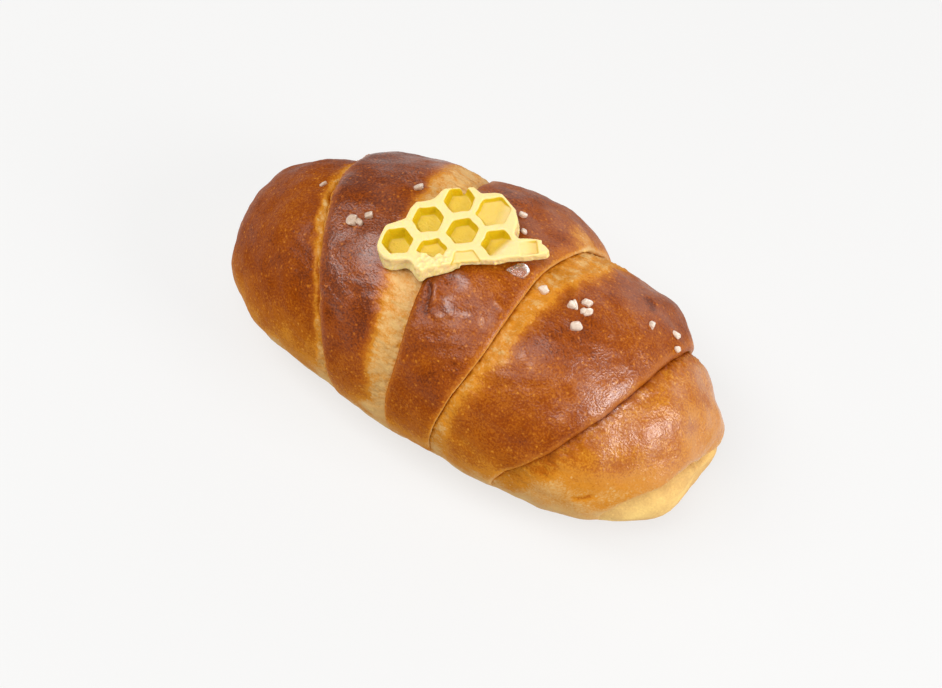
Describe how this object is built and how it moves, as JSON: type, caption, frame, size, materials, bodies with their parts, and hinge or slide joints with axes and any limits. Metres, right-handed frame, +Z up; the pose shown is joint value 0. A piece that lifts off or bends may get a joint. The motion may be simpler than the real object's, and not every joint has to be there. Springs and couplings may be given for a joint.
{
  "type": "salt bread roll",
  "caption": "Glazed bread roll of dough rolled up in overlapping wraps, with coarse salt and a piece of honeycomb-shaped yellow chocolate on its ridge.",
  "frame": {"origin": "middle of the bounding box of the whole roll, at the height of its flat base", "axes": "+X along the roll, towards the end with the pale open cap; -Y is the front, where the wraps taper off; +Z up"},
  "size_m": [0.1296, 0.069, 0.0565],
  "materials": {
    "crust": "egg-washed golden brown crust, satin",
    "chocolate": "pale yellow chocolate, satin"
  },
  "bodies": {
    "root": {"bread": "crust", "honeycomb_chocolate": "chocolate"}
  },
  "joints": []
}
